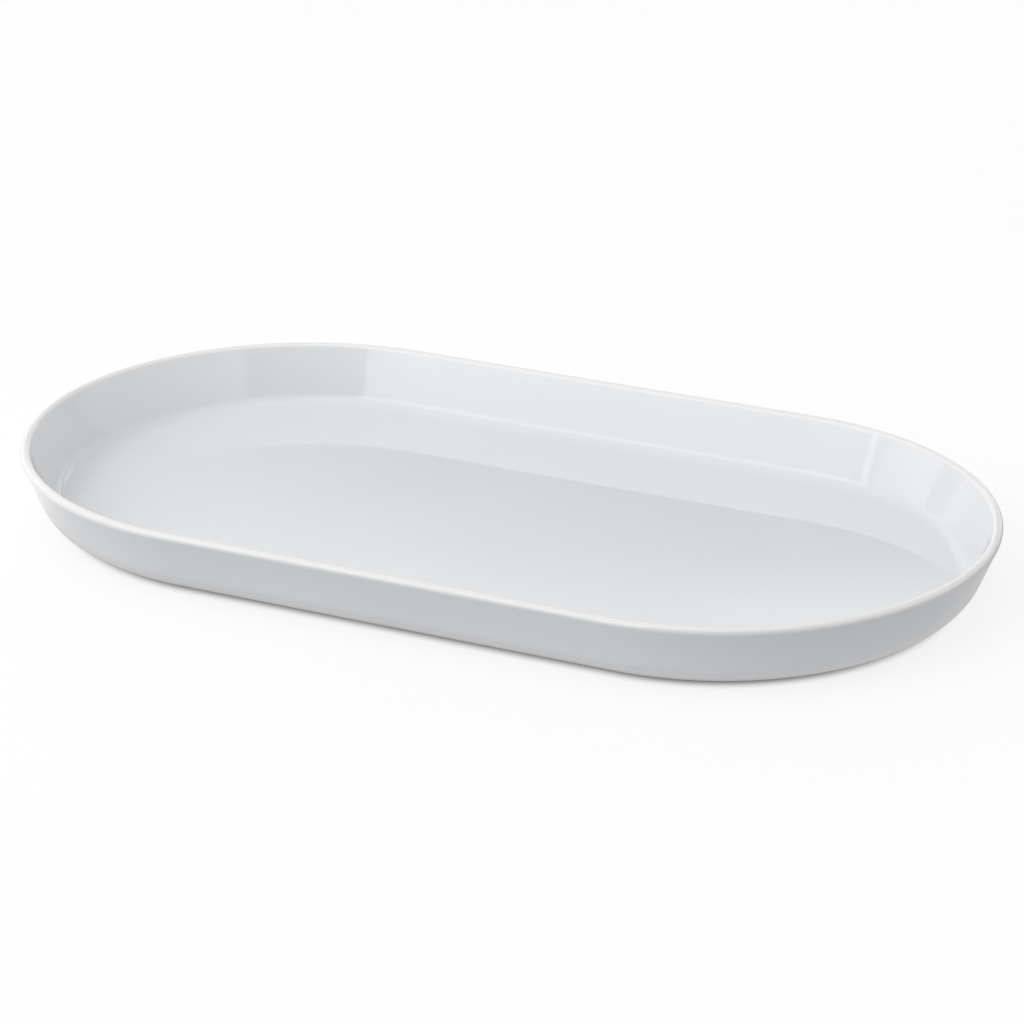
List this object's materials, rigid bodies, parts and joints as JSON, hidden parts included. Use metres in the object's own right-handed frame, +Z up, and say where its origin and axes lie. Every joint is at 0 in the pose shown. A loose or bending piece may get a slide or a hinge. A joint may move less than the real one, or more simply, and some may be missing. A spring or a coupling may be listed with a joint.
{
  "type": "serving dish",
  "caption": "Oblong white glazed porcelain serving dish with a flat well, flared wall, rolled lip and bare foot ring.",
  "frame": {"origin": "middle of the foot ring, on the surface that the dish stands on", "axes": "+X along the length, +Y across the width, +Z up out of the well"},
  "size_m": [0.4, 0.22, 0.03],
  "materials": {
    "bare_porcelain": "unglazed, fired and wiped, matt",
    "white_glaze": "clear gloss over white"
  },
  "bodies": {
    "root": {"porcelain_body": "bare_porcelain", "glaze_coat": "white_glaze", "underside_glaze": "white_glaze"}
  },
  "joints": []
}
